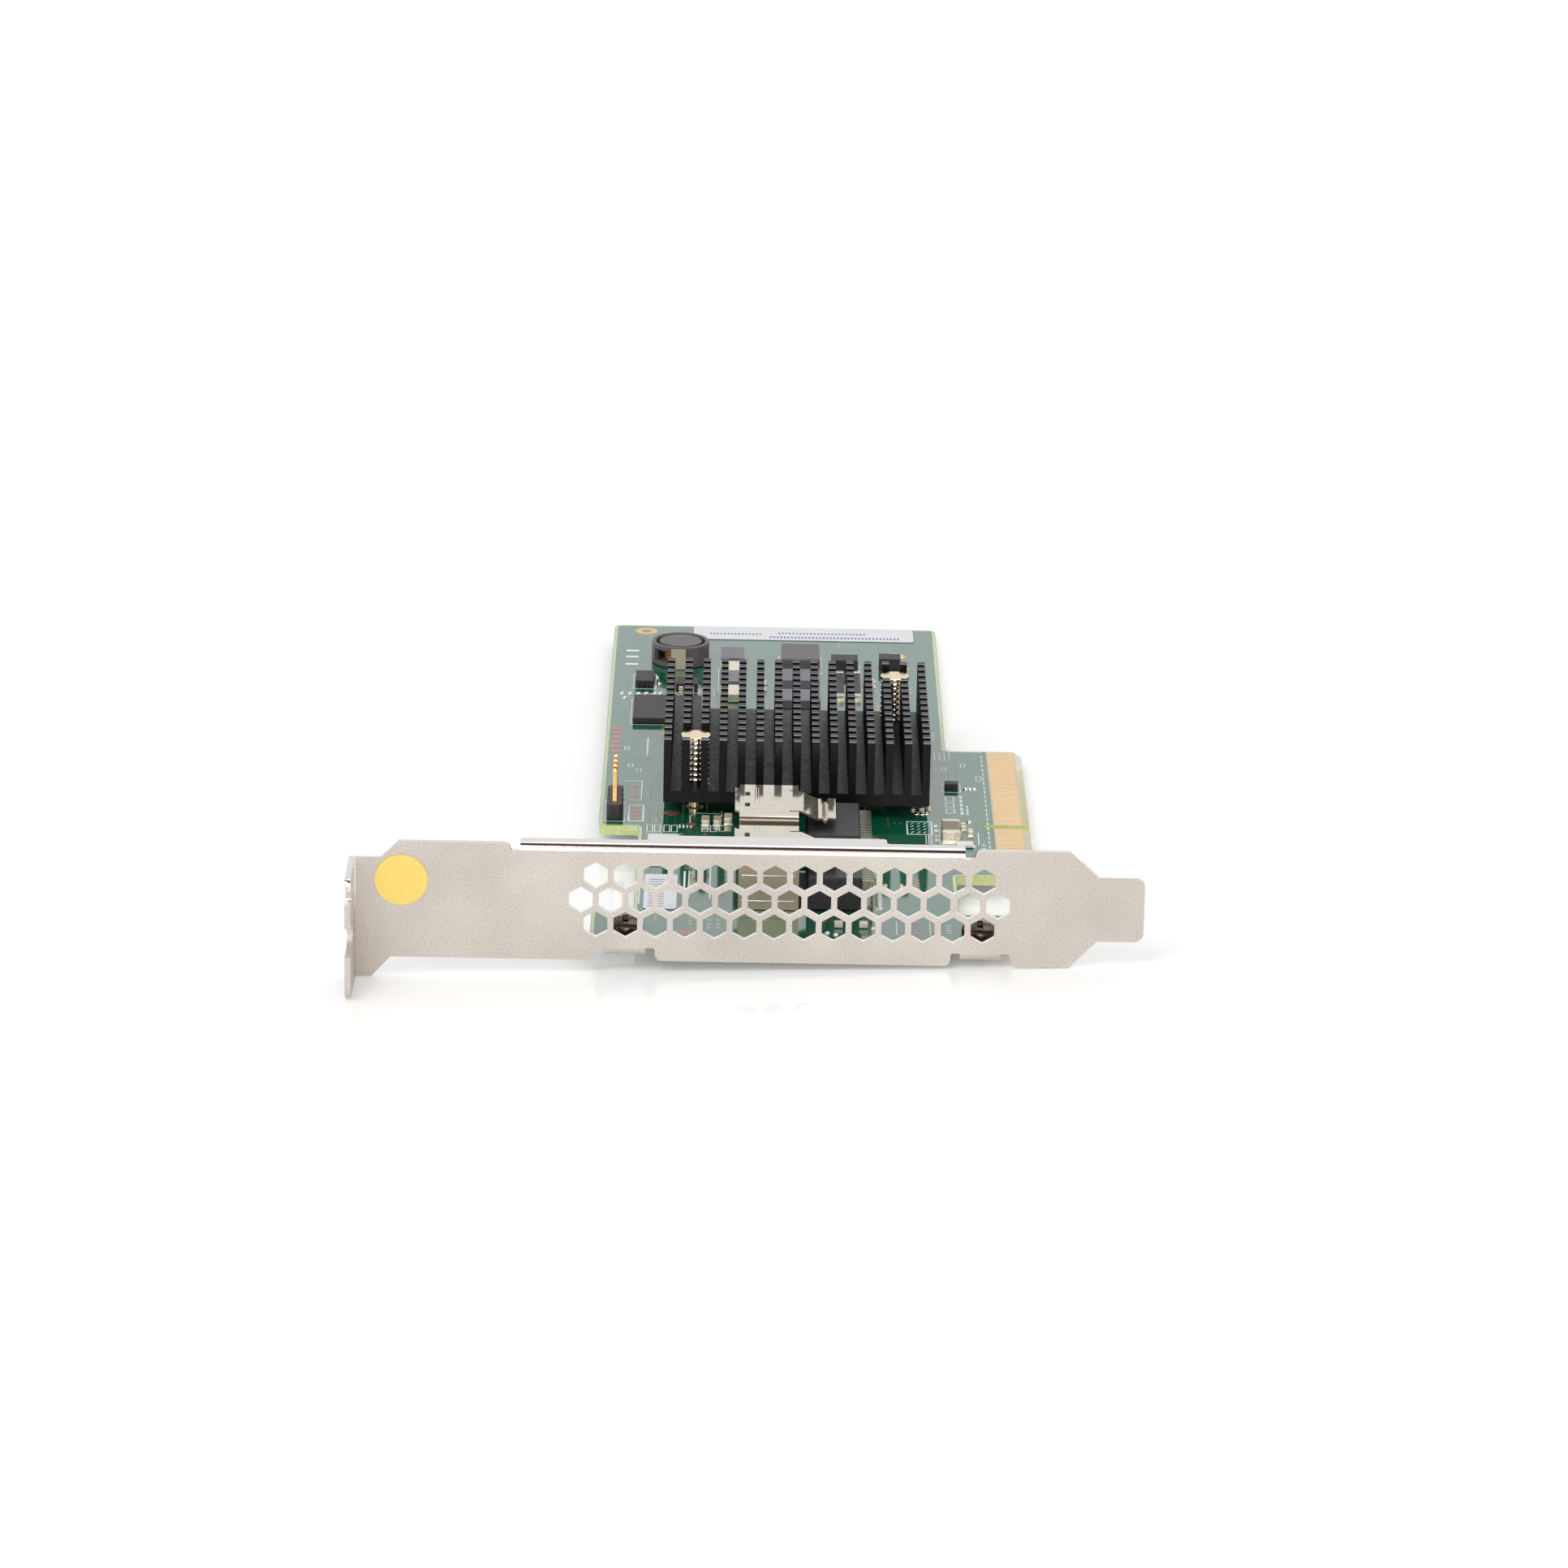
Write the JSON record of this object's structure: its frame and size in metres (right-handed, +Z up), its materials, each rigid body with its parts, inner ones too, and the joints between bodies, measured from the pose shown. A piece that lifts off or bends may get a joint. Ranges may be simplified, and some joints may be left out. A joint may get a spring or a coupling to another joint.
{
  "type": "host bus adapter",
  "caption": "Storage host bus adapter card: folded full-height bracket with hexagonal grille, edge connector, pin-fin heatsink on sprung push pins and two right-angle internal cable ports.",
  "frame": {"origin": "middle of the footprint at the part's lowest point, the lower edge of the bracket's mounting tab", "axes": "+Y along the board away from the bracket, +Z up out of the component side, +X along the bracket from the mounting tab to the tongue"},
  "size_m": [0.12, 0.179, 0.0216],
  "materials": {
    "bracket_steel": "satin nickel or zinc plating over folded sheet steel",
    "screw_steel": "black-plated screw",
    "board_laminate": "glossy green solder mask over glass laminate, gold contacts",
    "sink_aluminium": "black anodised",
    "brass": "bright turned brass",
    "spring_steel": "bright wound wire",
    "tinned_steel": "bright tin plating",
    "black_plastic": "moulded, faint grain",
    "chip_moulding": "moulded package, fine grain",
    "chip_laminate": "package laminate",
    "gold_pins": "gold plated",
    "ferrite": "pressed ferrite",
    "copper": "enamelled copper winding",
    "cream_ceramic": "fired ceramic with soldered ends",
    "white_plastic": "moulded",
    "white_label": "coated label",
    "yellow_label": "coated round sticker",
    "thermal_compound": "soft thermal pad"
  },
  "bodies": {
    "root": {"bracket": "bracket_steel", "bracket_screw_left": "screw_steel", "bracket_screw_right": "screw_steel", "circuit_board": "board_laminate", "heatsink": "sink_aluminium", "push_pin_near": "brass", "push_pin_far": "brass", "push_pin_spring_near": "spring_steel", "push_pin_spring_far": "spring_steel", "controller_chip": "chip_laminate", "controller_lid": "tinned_steel", "thermal_pad": "thermal_compound", "port_cage_near": "tinned_steel", "port_cage_far": "tinned_steel", "port_housing_near": "black_plastic", "port_housing_far": "black_plastic", "header_base": "black_plastic", "header_pin_1": "gold_pins", "header_pin_2": "gold_pins", "header_pin_3": "gold_pins", "header_pin_4": "gold_pins", "inductor_shield": "ferrite", "inductor_core": "ferrite", "inductor_winding": "copper", "inductor_strap": "cream_ceramic", "flash_chip": "chip_moulding", "memory_chip": "chip_moulding", "small_regulator": "chip_moulding", "power_choke_far": "ferrite", "power_choke_middle": "chip_moulding", "power_choke_near": "chip_moulding", "voltage_regulator": "chip_moulding", "switch_transistor": "chip_moulding", "polymer_capacitor": "chip_moulding", "tank_capacitor_far": "ferrite", "tank_capacitor_middle": "cream_ceramic", "tank_capacitor_near": "cream_ceramic", "bulk_capacitor": "cream_ceramic", "jumper_block": "white_plastic", "filter_capacitor_left": "cream_ceramic", "filter_capacitor_middle": "cream_ceramic", "filter_capacitor_right": "cream_ceramic", "status_led_left": "white_plastic", "status_led_right": "white_plastic", "label_near": "white_label", "label_middle": "white_label", "label_far": "white_label", "round_sticker": "yellow_label"}
  },
  "joints": []
}
